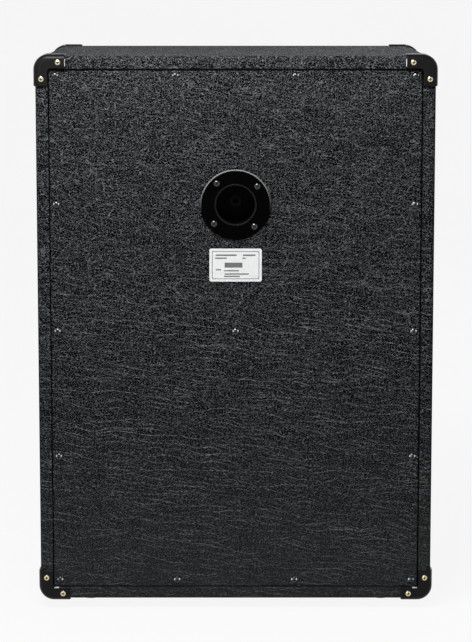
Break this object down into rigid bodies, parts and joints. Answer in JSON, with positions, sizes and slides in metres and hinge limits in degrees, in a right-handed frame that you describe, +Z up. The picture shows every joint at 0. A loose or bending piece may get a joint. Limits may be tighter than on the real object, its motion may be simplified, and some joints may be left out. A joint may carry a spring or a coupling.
{
  "type": "guitar_speaker_cabinet",
  "caption": "Black closed-back vertical guitar speaker cabinet with creased vinyl covering, corner protectors, recessed jack dish, side handles and a woven cloth grille.",
  "frame": {"origin": "centre of the bounding box in plan, at the level of the feet's undersides on the floor", "axes": "+Z up, +Y towards the rear panel with the jack dish, +X to the right seen from the grille side"},
  "size_m": [0.5112, 0.3142, 0.7102],
  "materials": {
    "board_wood": "bare plywood",
    "batten_wood": "bare softwood",
    "baffle_paint": "matte black paint on plywood",
    "vinyl": "black creased covering, low sheen",
    "grille_cloth": "black woven basket-weave cloth",
    "piping": "off-white bead",
    "corner_plastic": "black moulded, fine grain",
    "handle_plastic": "black moulded",
    "foot_rubber": "black rubber",
    "screw_brass": "pale brass plating",
    "black_screw": "black oxide",
    "zinc_steel": "zinc plating",
    "dish_plastic": "black gloss moulded",
    "label_film": "white film with grey ruling",
    "nickel": "bright nickel plating",
    "phenolic": "brown phenolic",
    "contact_brass": "spring brass",
    "gasket_board": "cork board",
    "basket_paint": "grey enamel",
    "plate_steel": "zinc plating",
    "ferrite": "dark ferrite",
    "surround_cloth": "doped black cloth",
    "cone_paper": "dark pressed paper",
    "coil_copper": "copper winding",
    "spider_cloth": "varnished cloth",
    "lead_braid": "copper braid",
    "cable_rubber": "black sheath",
    "clip_plastic": "pale nylon"
  },
  "bodies": {
    "cabinet": {"back_panel": "board_wood", "back_panel_screws": "black_screw", "back_panel_vinyl": "vinyl", "baffle_board": "baffle_paint", "baffle_screws": "zinc_steel", "bottom_board": "board_wood", "cabinet_vinyl": "vinyl", "cable_clip": "clip_plastic", "corner_screws": "screw_brass", "driver_bolts": "zinc_steel", "driver_gaskets": "gasket_board", "driver_nuts": "zinc_steel", "driver_terminals": "phenolic", "feet": "foot_rubber", "foot_screws": "zinc_steel", "front_battens": "batten_wood", "front_corners": "corner_plastic", "grille_cloth": "grille_cloth", "grille_frame": "batten_wood", "grille_piping": "piping", "handle_screws": "black_screw", "jack_bush": "nickel", "jack_dish": "dish_plastic", "jack_dish_screws": "black_screw", "jack_frame": "zinc_steel", "jack_nut": "nickel", "jack_stack": "phenolic", "jack_tags": "contact_brass", "jack_washer": "nickel", "label": "label_film", "left_handle": "handle_plastic", "left_side_board": "board_wood", "lower_back_plate": "plate_steel", "lower_basket": "basket_paint", "lower_front_plate": "plate_steel", "lower_leads": "lead_braid", "lower_magnet": "ferrite", "lower_spider": "spider_cloth", "lower_surround": "surround_cloth", "rear_battens": "batten_wood", "rear_corners": "corner_plastic", "rear_cross_rail": "batten_wood", "right_handle": "handle_plastic", "right_side_board": "board_wood", "speaker_cables": "cable_rubber", "top_board": "board_wood", "upper_back_plate": "plate_steel", "upper_basket": "basket_paint", "upper_front_plate": "plate_steel", "upper_leads": "lead_braid", "upper_magnet": "ferrite", "upper_spider": "spider_cloth", "upper_surround": "surround_cloth"},
    "upper_cone_assembly": {"upper_cone": "cone_paper", "upper_dust_cap": "cone_paper", "upper_voice_coil": "coil_copper"},
    "lower_cone_assembly": {"lower_cone": "cone_paper", "lower_dust_cap": "cone_paper", "lower_voice_coil": "coil_copper"},
    "tip_spring": {"jack_tip_spring": "contact_brass"}
  },
  "joints": [
    {"name": "upper_cone_travel", "type": "slide", "parent": "cabinet", "child": "upper_cone_assembly", "axis": [0, -1, 0], "range_m": [-0.003, 0.003], "stiffness_N_per_m": 4000, "deforming": ["upper_surround", "upper_spider", "upper_leads"]},
    {"name": "lower_cone_travel", "type": "slide", "parent": "cabinet", "child": "lower_cone_assembly", "axis": [0, -1, 0], "range_m": [-0.003, 0.003], "stiffness_N_per_m": 4000, "deforming": ["lower_surround", "lower_spider", "lower_leads"]},
    {"name": "tip_spring_flex", "type": "hinge", "parent": "cabinet", "child": "tip_spring", "pos_m": [0, 0.0907, 0.5145], "axis": [1, 0, 0], "range_deg": [0, 5], "stiffness_Nm_per_rad": 0.05}
  ]
}
